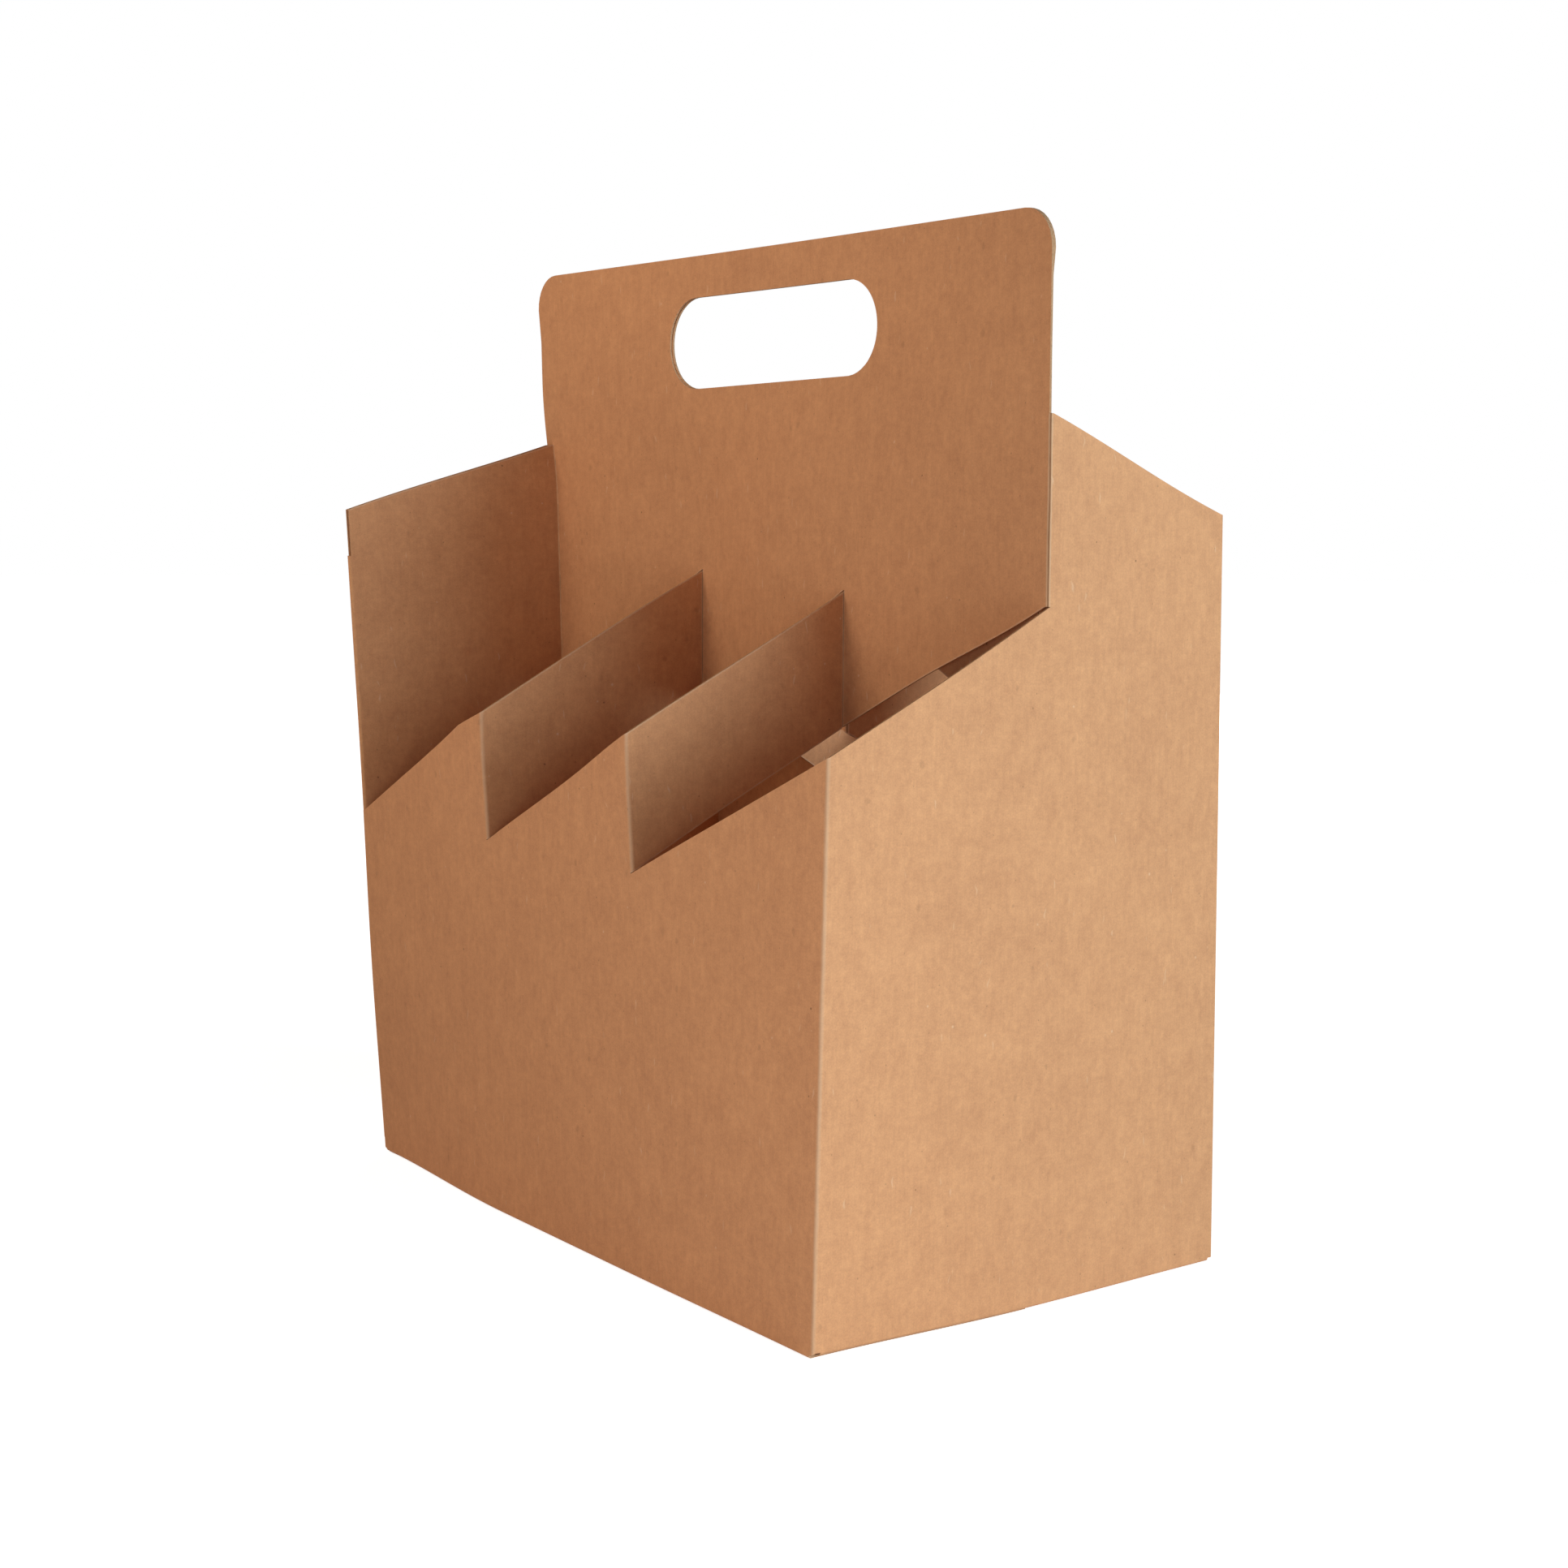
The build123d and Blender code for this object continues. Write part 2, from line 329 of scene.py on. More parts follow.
def run_on(*paths):
    """One path in plan from several, each of which starts where the last one ends."""
    x = np.concatenate([paths[0][0]] + [p[0][1:] for p in paths[1:]])
    y = np.concatenate([paths[0][1]] + [p[1][1:] for p in paths[1:]])
    return x, y


def nearest(along, places):
    """Distance of each point from the nearest place along the flat blank."""
    least = np.full(along.shape, NONE_NEAR)
    for place in places:
        least = np.minimum(least, np.abs(along - place))
    return least


# What a point keeps: its place in the flat blank and its distances from folds, hinges and cuts
KEPT = "flat_x", "flat_y", "fold", "hinge", "cut"


class Sheet:
    """Grids of points of one blank, each point with its place in the flat blank."""

    def __init__(self, plan):
        self.plan = plan
        self.points = []
        self.kept = {name: [] for name in KEPT}
        self.faces = []
        self.count = 0

    def grid(self, x, y, z, along=None, up=None, folds=(), hinges=(), cut=NONE_NEAR):
        """Adds a grid of columns by rows. Its place in the flat blank is x + y along the walls."""
        x, y, z = np.broadcast_arrays(x, y, z)
        if along is None:
            along = x + y - self.plan.front_y
        if up is None:
            up = z
        along, up = np.broadcast_arrays(along, up)
        n, m = x.shape
        at = self.count + np.arange(n * m).reshape(n, m)
        quads = np.stack([at[:-1, :-1], at[1:, :-1], at[1:, 1:], at[:-1, 1:]], -1)
        self.points.append(np.stack([x, y, z], -1).reshape(-1, 3))
        self.faces.append(quads.reshape(-1, 4))
        cut = np.broadcast_to(cut, x.shape)
        kept = along, up, nearest(along, folds), nearest(along, hinges), cut
        for name, values in zip(KEPT, kept):
            self.kept[name].append(values.reshape(-1))
        self.count += n * m

    def walls(
        self, path, heights, rows, folds=(), hinges=(), along=None, low_cut=False, high_cut=False
    ):
        """Adds grids of upright columns over a path in plan, one on top of the other.

        A height is one number or one for each column. The lowest and the highest may be raw cuts.
        """
        x, y = path
        if along is not None:
            along = along[:, None]
        heights = [np.broadcast_to(height, x.shape) for height in heights]
        for low, high, count in zip(heights, heights[1:], rows):
            z = low[:, None] + (high - low)[:, None] * np.linspace(0, 1, count + 1)
            cut = np.full(z.shape, NONE_NEAR)
            if low_cut and low is heights[0]:
                cut = np.minimum(cut, z - z[:, :1])
            if high_cut and high is heights[-1]:
                cut = np.minimum(cut, z[:, -1:] - z)
            self.grid(x[:, None], y[:, None], z, along=along, folds=folds, hinges=hinges, cut=cut)


def front_wall(sheet, sizes):
    """Front panel, the corner and the right end, as one run of columns in plan."""
    p = sheet.plan
    fixed = [p.flap_left, p.flap_right, p.tongue_left, p.tongue_right]
    fixed += [place - p.radius for place in p.dividers] + list(p.dividers)
    x = columns(p.front_start, p.front_end, sizes.pitch, fixed, True, True)
    corner = bend((p.front_end, p.near_y), p.radius, -90, 0)
    y = columns(p.near_y, p.back_y, sizes.pitch, [-p.flap_far, p.middle_y, p.flap_far], True)
    whole = run_on(straight(x, p.front_y), corner, straight(p.end_x, y))
    corner_foot = np.linspace(p.front_foot, p.end_foot, BEND_STEPS + 1)[1:]
    foot = [np.full(len(x), p.front_foot), corner_foot, np.full(len(y) - 1, p.end_foot)]
    heights = np.concatenate(foot), sizes.glue_foot, p.foot
    sheet.walls(whole, heights, (HEM_ROWS, WALL_ROWS), [p.end_x])
    for start, end_place in zip([p.glue_x, *p.dividers], [*p.dividers, p.end_x]):
        first = max(start, p.front_start)
        knee_x = start + p.reach
        tip_x = end_place - p.radius
        knee = p.tip - sizes.front_knee_drop
        if end_place == p.end_x:
            knee = p.foot + (p.tip - p.foot) * (knee_x - first) / (tip_x - first)
        cell_x = between(x, first, tip_x)
        upper = np.interp(cell_x, [first, knee_x, tip_x], [p.foot, knee, p.tip])
        folds = [end_place, start] if start != p.glue_x else [end_place]
        sheet.walls(straight(cell_x, p.front_y), (p.foot, upper), (CUT_ROWS,), folds)
    low_end = run_on(corner, straight(p.end_x, between(y, p.near_y, p.middle_y)))
    run = low_end[0] + low_end[1]
    upper = np.interp(run, [run[0], run[-1]], [p.tip, p.ply_cut])
    sheet.walls(low_end, (p.foot, upper), (CUT_ROWS,), [p.end_x])
    high_y = between(y, p.middle_y, p.back_y)
    high_end = straight(p.end_x, high_y)
    upper = np.interp(high_y, [p.middle_y, p.back_y], [p.peak, p.corner])
    sheet.walls(high_end, (p.foot, p.ply_cut), (CUT_ROWS,))
    heights = p.ply_cut, p.glue_top, upper
    sheet.walls(high_end, heights, (LAP_ROWS, PEAK_ROWS), hinges=[p.end_x + p.reach])
    return x, y


def wing_line(plan, sizes):
    """Plan of the inner wing: its line touches the tight fold and the ply's crease from inside."""
    p = plan
    lap_radius = (p.board + sizes.lap_gap) / 2
    lap = p.glue_x + lap_radius, p.near_y
    turn = -p.half_length + sizes.wing_inset + p.radius, p.far_y
    run_x = turn[0] - lap[0]
    run_y = turn[1] - lap[1]
    lean = math.atan2(run_x, run_y) - math.asin((lap_radius + p.radius) / math.hypot(run_x, run_y))
    start = lap[0] + lap_radius * math.cos(lean), lap[1] - lap_radius * math.sin(lean)
    end = turn[0] - p.radius * math.cos(lean), turn[1] + p.radius * math.sin(lean)
    return SimpleNamespace(lap=lap, lap_radius=lap_radius, turn=turn, lean=lean, start=start, end=end)


def inner_wing(sheet, sizes):
    """Inner wing with its crease to the ply and its tight fold to the glue flap."""
    p = sheet.plan
    wing = wing_line(p, sizes)
    lean = math.degrees(wing.lean)
    y = columns(wing.start[1], wing.end[1], sizes.pitch, (), True, True)
    share = (y - wing.start[1]) / (wing.end[1] - wing.start[1])
    panel = wing.start[0] + (wing.end[0] - wing.start[0]) * share, y
    path = run_on(panel, bend(wing.turn, p.radius, 180 - lean, 90))
    share = np.concatenate([share, np.ones(BEND_STEPS)])
    low = p.foot + (p.knee - p.foot) * share
    high = p.corner + (p.peak - p.corner) * share
    heights = low, p.ply_cut, p.glue_top, high
    rows = CUT_ROWS, LAP_ROWS, PEAK_ROWS
    hinge = [wing.turn[0] + p.ply_y - p.front_y]
    sheet.walls(path, heights, rows, hinges=hinge, low_cut=True, high_cut=True)
    tight = bend(wing.lap, wing.lap_radius, 180, 360 - lean)
    along = np.linspace(p.glue_x - p.radius, wing.start[0], len(tight[0]))
    sheet.walls(tight, (p.foot, p.ply_cut, p.glue_top), (CUT_ROWS, LAP_ROWS), along=along)


def glue_flap(sheet, sizes):
    """Glue flap with its crease to the front panel. It is counted away from the front panel."""
    p = sheet.plan
    width = sizes.glue_width - p.radius
    y = columns(p.near_y, p.near_y + width, sizes.pitch)[::-1]
    chamfer = sizes.glue_chamfer * (y - p.near_y) / width
    along = p.glue_x - (y - p.front_y)
    heights = sizes.glue_foot + chamfer, p.foot, p.ply_cut, p.glue_top - chamfer
    rows = WALL_ROWS, CUT_ROWS, LAP_ROWS
    sheet.walls(straight(p.glue_x, y), heights, rows, along=along)
    crease = bend((p.front_start, p.near_y), p.radius, 180, 270)
    along = np.linspace(along[-1], p.front_start, len(crease[0]))
    sheet.walls(crease, (sizes.glue_foot, p.foot), (WALL_ROWS,), [p.glue_x], along=along)


def divider(sheet, sizes, place):
    """Divider between the crease at a tip of the front panel and its crease to the ply at a knee."""
    p = sheet.plan
    first = bend((place - p.radius, p.near_y), p.radius, -90, 0)
    y = columns(p.near_y, p.far_y, sizes.pitch, (), True, True)
    last = bend((place + p.radius, p.far_y), p.radius, 180, 90)
    path = run_on(first, straight(place, y), last)
    run = path[0] + path[1]
    share = (run - run[0]) / (run[-1] - run[0])
    knee = p.knee + (sizes.last_lift if place == p.dividers[-1] else 0)
    heights = p.foot + (knee - p.foot) * share, p.tip + (p.ply_cut - p.tip) * share
    hinge = [place + p.reach]
    sheet.walls(path, heights, (CUT_ROWS,), [place], hinge, low_cut=True, high_cut=True)


def centre_ply(sheet, sizes):
    """Front ply of the centre board, up to the level where the handle begins."""
    p = sheet.plan
    start = wing_line(p, sizes).turn[0]
    end = p.front_end
    ring = sizes.hole_length / 2 + sizes.hole_margin
    fixed = list(p.dividers) + [place + p.radius for place in p.dividers] + [-ring, ring]
    x = columns(start, end, sizes.pitch, fixed, True, True)
    hinges = [start - p.radius, *p.dividers]
    for hinge, next_hinge in zip(hinges, [*p.dividers, end]):
        first = hinge + p.radius
        near = [hinge + p.reach]
        knots = [first, end]
        cut = [p.knee + sizes.last_lift, p.ply_cut]
        if next_hinge != end:
            near.append(next_hinge + p.reach)
            knots = [first, next_hinge - p.reach, next_hinge]
            cut = [p.knee, p.tip, p.ply_cut]
        cell_x = between(x, first, next_hinge)
        heights = np.interp(cell_x, knots, cut), p.ply_cut
        sheet.walls(straight(cell_x, p.ply_y), heights, (CUT_ROWS,), hinges=near, low_cut=True)
    path = run_on(straight(x, p.ply_y), bend((end, p.middle_y), p.radius, -90, 0))
    near = [hinges[0] + p.reach, p.end_x + p.reach]
    sheet.walls(path, (p.ply_cut, p.glue_top, p.peak), (LAP_ROWS, PEAK_ROWS), hinges=near)
    return x


def stadium(share, length, height):
    """Point of a stadium's rim for a share from 0 to 4, one for each side of a square round it.

    The sides are bottom, right, top and left. They meet at 45 degrees on the stadium's caps.
    """
    radius = height / 2
    straight_part = length - height
    side = np.floor(share).astype(int) % 4
    part = share - np.floor(share)
    eighth = radius * np.pi / 4
    walked = part * (straight_part + 2 * eighth) - eighth
    before = np.minimum(walked, 0) / radius
    after = np.maximum(walked - straight_part, 0) / radius
    turn = -np.pi / 2 + before + after
    level_x = np.clip(walked, 0, straight_part) - straight_part / 2 + radius * np.cos(turn)
    level_z = radius * np.sin(turn)
    cap_turn = -np.pi / 4 + part * np.pi / 2
    cap_x = straight_part / 2 + radius * np.cos(cap_turn)
    cap_z = radius * np.sin(cap_turn)
    x = np.where(side % 2 == 0, level_x, cap_x)
    z = np.where(side % 2 == 0, level_z, cap_z)
    flip = np.where(side >= 2, -1, 1)
    return x * flip, z * flip


def handle(sheet, sizes, x):
    """Handle over the peaks: a ring of points round the hole between two outer blocks of columns."""
    p = sheet.plan
    corner_z = p.top - sizes.handle_corner
    turn = np.linspace(0, np.pi / 2, HANDLE_CORNER_ROWS)
    low_rows = np.linspace(p.peak, corner_z, HANDLE_ROWS)
    z = np.concatenate([low_rows[:-1], corner_z + sizes.handle_corner * np.sin(turn)])
    inset = sizes.handle_corner * (1 - np.cos(turn))
    side = p.half_length - sizes.handle_margin
    foot_left = x[0] - p.radius
    left_low = np.linspace(foot_left, -side, HANDLE_ROWS)
    left = np.concatenate([left_low[:-1], -side + inset])
    right = np.concatenate([np.full(HANDLE_ROWS - 1, side), side - inset])
    ring = sizes.hole_length / 2 + sizes.hole_margin
    left_x = np.concatenate([[foot_left], between(x, x[0], -ring)])
    share = ((left_x - foot_left) / (-ring - foot_left))[:, None]
    sheet.grid(left + (-ring - left) * share, p.ply_y, z[None, :])
    right_x = np.concatenate([between(x, ring, x[-1]), [side]])
    share = ((right_x - ring) / (side - ring))[:, None]
    sheet.grid(ring + (right - ring) * share, p.ply_y, z[None, :])
    inner_x = between(x, -ring, ring)
    across = (inner_x + ring) / (2 * ring)
    upward = (z - p.peak) / (p.top - p.peak)
    up_side = np.full(len(z) - 1, ring)
    level = np.ones(len(inner_x) - 1)
    rim_x = np.concatenate([inner_x[:-1], up_side, inner_x[:0:-1], np.full(len(z), -ring)])
    rim_z = np.concatenate([p.peak * level, z[:-1], p.top * level, z[::-1]])
    share = [across[:-1], 1 + upward[:-1], 2 + (1 - across[:0:-1]), 3 + (1 - upward[::-1])]
    share = np.concatenate(share)
    share[-1] = 4.0
    hole_x, hole_z = stadium(share, sizes.hole_length, sizes.hole_height)
    hole_z = hole_z + p.top - sizes.hole_margin - sizes.hole_height / 2
    step = np.linspace(1, 0, RING_ROWS + 1)
    ring_x = hole_x[:, None] + (rim_x - hole_x)[:, None] * step
    ring_z = hole_z[:, None] + (rim_z - hole_z)[:, None] * step
    sheet.grid(ring_x, p.ply_y, ring_z)


def large_flap(sheet, sizes, x):
    """Large bottom flap under the front panel, with its tongue over the other blank's flap."""
    p = sheet.plan
    depth, height = bend((p.near_y, p.front_foot), p.radius, 270, 180)
    seam = -sizes.seam_gap / 2
    ramp = -sizes.tongue_ramp
    y = columns(p.near_y, ramp, sizes.pitch, (), True)[::-1]
    y = np.concatenate([y, depth[1:]])
    z = np.concatenate([np.full(len(y) - BEND_STEPS, p.flap_z), height[1:]])
    arc = np.linspace(0, p.radius * np.pi / 2, BEND_STEPS + 1)[::-1]
    up = np.concatenate([-(y[:-BEND_STEPS] - p.near_y) - arc[0], -arc[1:]]) + p.front_foot
    place = between(x, p.flap_left, p.flap_right)[:, None]
    sheet.grid(place, y[None, :], z[None, :], along=place, up=up[None, :])
    base = up[0]
    for low, high in ((p.flap_left, p.tongue_left), (p.tongue_right, p.flap_right)):
        place = between(x, low, high)[:, None]
        y = np.linspace(seam, ramp, SEAM_ROWS + 1)[None, :]
        sheet.grid(place, y, p.flap_z, along=place, up=base - (y - ramp))
    place = between(x, p.tongue_left, p.tongue_right)[:, None]
    lap = np.linspace(sizes.tongue_lap, 0, TONGUE_ROWS + 1)[:-1]
    y = np.concatenate([lap, np.linspace(0, ramp, RAMP_ROWS + 1)])[None, :]
    z = p.flap_z + p.board * np.clip((y - ramp) / -ramp, 0, 1)
    sheet.grid(place, y, z, along=place, up=base - (y - ramp))


def small_flap(sheet, sizes, y):
    """Small bottom flap of the right end, on top of the large flaps, narrower towards its edge."""
    p = sheet.plan
    flap_y = between(y, -p.flap_far, p.flap_far)
    place, height = bend((p.front_end, p.end_foot), p.radius, 270, 360)
    inner = p.front_end - sizes.small_flap_depth
    x = columns(inner, p.front_end, sizes.pitch, (), False, True)
    taper = sizes.small_flap_taper * (p.front_end - x) / sizes.small_flap_depth
    arc = np.linspace(0, p.radius * np.pi / 2, BEND_STEPS + 1)
    up = np.concatenate([x - p.front_end - arc[-1], arc[1:] - arc[-1]])
    z = np.concatenate([np.full(len(x), p.small_flap_z), height[1:]])
    x = np.concatenate([x, place[1:]])
    taper = np.concatenate([taper, np.zeros(BEND_STEPS)])
    width = flap_y[:, None] * (1 - taper / p.flap_far)[None, :]
    along = width + p.end_x - p.front_y
    sheet.grid(x[None, :], width, z[None, :], along=along, up=(up + p.end_foot)[None, :])


def smooth_step(value, low, high):
    """Nought under low, one over high, and a smooth cubic between."""
    t = np.clip((value - low) / (high - low), 0, 1)
    return t * t * (3 - 2 * t)


def bump_at(value, centre, width):
    """Bell curve of height one about a centre."""
    return np.exp(-(((value - centre) / width) ** 2))


def soften(points, plan, slack, is_back):
    """Gives the stiff shape the slack of real board, which the photograph shows.

    The left end leans out at its top and in at its foot, by a slope times the height over a pivot.
    Both right corners stand a little off their place. The centre board bows back in four bell
    curves, and what hangs on it goes along by its share of the depth. The tips lean out. The back
    blank's ply stands off the front one by one more bell curve, in the last cell, the lower edges
    of its dividers are raised, and its creases at the ply lie close against the front ones.
    """
    s = slack
    x, y, z = points.T
    to_left = smooth_step(-x, s.end_reach, plan.half_length)
    to_right = smooth_step(x, s.end_reach, plan.half_length)
    to_front = smooth_step(-y, 0, plan.half_depth)
    to_back = smooth_step(y, 0, plan.half_depth)
    middle = (1 - np.abs(y) / plan.half_depth).clip(0, 1)
    above = z - s.lean_pivot
    off_floor = smooth_step(z, s.belly_foot, plan.foot)
    in_handle = smooth_step(z, s.handle_foot, s.handle_full)
    shift_x = -to_left * above * s.end_lean
    shift_x -= to_right * to_back * (s.back_corner_x + s.back_corner_lean * z)
    shift_x -= to_right * to_front * s.front_corner_x
    shift_x -= to_left * to_front * bump_at(z, s.bulge_height, s.bulge_band) * s.bulge
    shift_x += middle * in_handle * s.handle_right
    shift_y = -to_left * to_front * above * s.corner_lean
    shift_y -= to_right * to_back * (s.back_corner_y + s.back_corner_lean * z)
    shift_y += to_right * to_front * (s.front_corner_y + s.front_corner_lean * z)
    shift_z = np.zeros_like(z)
    left_divider, right_divider = plan.dividers
    bows = (
        (-plan.half_length, s.belly_left_end, s.lift_left_end),
        (left_divider, s.belly_left, s.lift_left),
        (right_divider, s.belly_right, s.lift_right),
        (plan.half_length, s.belly_right_end, s.lift_right_end),
    )
    for place, belly, lift in bows:
        there = bump_at(x, place, s.bow_width) * middle
        shift_y += there * off_floor * (1 - in_handle) * belly
        shift_z += there * bump_at(z, s.lift_height, s.lift_band) * lift
    shift_y += middle * in_handle * s.handle_back * bump_at(x, 0, plan.half_length)
    tilt = x / plan.half_length * bump_at(z, plan.peak, s.peak_band)
    shift_z += middle * tilt * s.peak_tilt
    if is_back:
        there = bump_at(x, s.parting_place, s.parting_width) * middle
        shift_y += there * bump_at(z, s.parting_height, s.parting_band) * s.parting
        low = bump_at(z, s.back_lift_height, s.back_lift_band)
        lifts = s.back_lift_left, s.back_lift_right
        shifts = s.back_shift_left, s.back_shift_right
        for place, lift, shift in zip(plan.dividers, lifts, shifts):
            shift_z += bump_at(x, place, s.bow_width) * low * lift
            shift_x += bump_at(x, place, s.tip_width) * middle * shift
    rising = smooth_step(z, s.tip_foot, plan.tip)
    for place in plan.dividers:
        shift_y -= bump_at(x, place, s.tip_width) * to_front * rising * s.tip_lean
        shift_y += bump_at(x, -place, s.tip_width) * to_back * rising * s.tip_lean
    return points + np.stack([shift_x, shift_y, shift_z], -1)


def folded_mesh(name, sizes, half_turn):
    """Mesh of one blank: its grids joined where they share points, still without thickness."""
    plan = work_out(sizes)
    sheet = Sheet(plan)
    x, y = front_wall(sheet, sizes)
    inner_wing(sheet, sizes)
    glue_flap(sheet, sizes)
    for place in plan.dividers:
        divider(sheet, sizes, place)
    handle(sheet, sizes, centre_ply(sheet, sizes))
    large_flap(sheet, sizes, x)
    small_flap(sheet, sizes, y)
    points = np.concatenate(sheet.points)
    if half_turn:
        points = points * [-1, -1, 1]
    points = soften(points, plan, bpy.context.scene.carrier_slack, half_turn)
    mesh = bpy.data.meshes.new(name)
    mesh.from_pydata(points, [], np.concatenate(sheet.faces))
    for mark, values in sheet.kept.items():
        attribute = mesh.attributes.new(mark, "FLOAT", "POINT")
        attribute.data.foreach_set("value", np.concatenate(values).astype(np.float32))
    join_grids(mesh)
    return mesh


def join_grids(mesh):
    """Merges the points that neighbouring grids share and drops faces that have no area."""
    joined = bmesh.new()
    joined.from_mesh(mesh)
    bmesh.ops.remove_doubles(joined, verts=joined.verts, dist=JOIN_WITHIN)
    bmesh.ops.dissolve_degenerate(joined, edges=joined.edges, dist=LEAST_EDGE)
    joined.to_mesh(mesh)
    joined.free()


def give_board(piece, sizes):
    """Gives the sheet its thickness, with the cut edges in the second material, and fixes it."""
    wall = piece.modifiers.new("Board", "SOLIDIFY")
    wall.thickness = sizes.board - sizes.ply_parting
    wall.offset = 0.0
    wall.use_even_offset = True
    wall.use_rim = True
    wall.material_offset_rim = 1
    view = bpy.context.evaluated_depsgraph_get()
    solid = bpy.data.meshes.new_from_object(piece.evaluated_get(view))
    solid.name = piece.data.name
    piece.modifiers.clear()
    piece.data = solid
    solid.polygons.foreach_set("use_smooth", np.ones(len(solid.polygons), bool))
    solid.set_sharp_from_angle(angle=SHARP_ANGLE)


# Scales of the board's patterns along and up the flat blank, to the metre
CLOUD_SCALE = 26.0
MOTTLE_SCALE = 210.0, 130.0, 1.0
FLOCK_SCALE = 560.0
STREAK_SCALE = 1500.0, 120.0, 1.0
GRAIN_SCALE = 2300.0
FLECK_SCALE = 330.0, 250.0, 1.0
SPECK_SCALE = 420.0, 420.0, 1.0
FINE_SPECK_SCALE = 1300.0, 1100.0, 1.0
PALE_SPOT_SCALE = 700.0, 640.0, 1.0
FIBRE_SCALE = 1300.0, 240.0, 1.0
FUZZ_SCALE = 2200.0
WANDER_SCALE = 300.0

# Turns of the fibres in the plane of the board
FIBRE_TURNS = 0.35, 1.4, 2.5

# Smallest mark beside the spread of a pattern's sizes, and the weights of two patterns
LEAST_MARK = 0.4
FINE_SPECK_WEIGHT = 0.6
PALE_SPOT_WEIGHT = 1.3

# Middle of a noise, and how far marks, folds and cuts wander with it, and hinges by a share of that
NOISE_MIDDLE = 0.5
WANDER_REACH = 2.2 * MILLIMETRE
WOBBLE_REACH = 0.6 * MILLIMETRE
HINGE_WOBBLE = 0.4

# Depth of the relief and the weights of its parts
RELIEF_DEPTH = 0.1 * MILLIMETRE
GRAIN_RELIEF = 0.5
STREAK_RELIEF = 0.6
LINE_RELIEF = 0.8


def feed(tree, socket, value):
    """Gives an input a plain value or the output of another node."""
    if isinstance(value, bpy.types.NodeSocket):
        tree.links.new(value, socket)
    else:
        socket.default_value = value


def node(tree, kind, **inputs):
    """New shader node, with its inputs given by name."""
    made = tree.nodes.new(kind)
    for name, value in inputs.items():
        feed(tree, made.inputs[name.replace("_", " ")], value)
    return made


def math_node(tree, operation, *values, kind="ShaderNodeMath"):
    """Math node, whose output is returned."""
    made = tree.nodes.new(kind)
    made.operation = operation
    for socket, value in zip(made.inputs, values):
        feed(tree, socket, value)
    return made.outputs[0]


def vector_math(tree, operation, *values):
    """Vector math node, whose output is returned."""
    return math_node(tree, operation, *values, kind="ShaderNodeVectorMath")


def tinted(tree, colour, mask, tint, strength):
    """Colour that goes over to a tint by a mask times a strength."""
    made = tree.nodes.new("ShaderNodeMix")
    made.data_type = "RGBA"
    sockets = {socket.identifier: socket for socket in (*made.inputs, *made.outputs)}
    feed(tree, sockets["Factor_Float"], math_node(tree, "MULTIPLY", mask, strength))
    feed(tree, sockets["A_Color"], colour)
    feed(tree, sockets["B_Color"], (*tint, 1.0))
    return sockets["Result_Color"]


def noise(tree, vector, scale=1.0, detail=2.0, roughness=0.5):
    """Noise texture, whose value is returned."""
    inputs = {"Vector": vector, "Scale": scale, "Detail": detail, "Roughness": roughness}
    return node(tree, "ShaderNodeTexNoise", **inputs).outputs[0]


def centred(tree, pattern):
    """Noise about nought."""
    return math_node(tree, "SUBTRACT", pattern, NOISE_MIDDLE)


def kept_value(tree, name):
    """Number that the mesh keeps under a name for each point."""
    kept = tree.nodes.new("ShaderNodeAttribute")
    kept.attribute_name = name
    return kept.outputs["Fac"]


def stretched(tree, vector, scale, turn=0.0):
    """Vector with its own scale along each axis, after a turn in the plane of the board."""
    made = node(tree, "ShaderNodeMapping", Vector=vector, Scale=scale, Rotation=(0.0, 0.0, turn))
    return made.outputs[0]


def marks(tree, vector, scale, turn, share, size):
    """Sparse marks of uneven size in a share of the cells of a stretched cell pattern."""
    cells = node(tree, "ShaderNodeTexVoronoi", Vector=stretched(tree, vector, scale, turn), Scale=1.0)
    cells.feature = "F1"
    colour = node(tree, "ShaderNodeSeparateColor", Color=cells.outputs["Color"])
    chosen = math_node(tree, "LESS_THAN", colour.outputs[0], share)
    reach = math_node(tree, "MULTIPLY_ADD", colour.outputs[1], size, size * LEAST_MARK)
    gap = math_node(tree, "DIVIDE", cells.outputs["Distance"], reach)
    return math_node(tree, "MULTIPLY", chosen, within(tree, gap, full=0.5, none=1.0))


def within(tree, distance, full, none):
    """One up to a full distance, falling to nought at another."""
    share = node(tree, "ShaderNodeMapRange", Value=distance, From_Min=none, From_Max=full)
    return share.outputs[0]


def wandered(tree, vector, scale, reach):
    """Vector moved about by a noise, so that straight marks come out curved."""
    moved = node(tree, "ShaderNodeTexNoise", Vector=vector, Scale=scale, Detail=1.0)
    about = vector_math(tree, "SUBTRACT", moved.outputs["Color"], (NOISE_MIDDLE,) * 3)
    return vector_math(tree, "MULTIPLY_ADD", about, (reach, reach, 0.0), vector)


def board_tone(tree, place, finish):
    """Uneven tone of the board about nought, with its streaks and its grain apart for the relief."""
    clouds = noise(tree, place, CLOUD_SCALE, detail=3.0)
    mottle = noise(tree, stretched(tree, place, MOTTLE_SCALE), roughness=0.55)
    flocks = noise(tree, place, FLOCK_SCALE, roughness=0.6)
    streaks = noise(tree, stretched(tree, place, STREAK_SCALE))
    grain = noise(tree, place, GRAIN_SCALE, roughness=0.6)
    parts = (
        (clouds, finish.clouding),
        (mottle, finish.mottling),
        (flocks, finish.flocking),
        (streaks, finish.streaking),
        (grain, finish.graining),
    )
    tone = 0.0
    for pattern, weight in parts:
        tone = math_node(tree, "MULTIPLY_ADD", centred(tree, pattern), weight, tone)
    return tone, streaks, grain


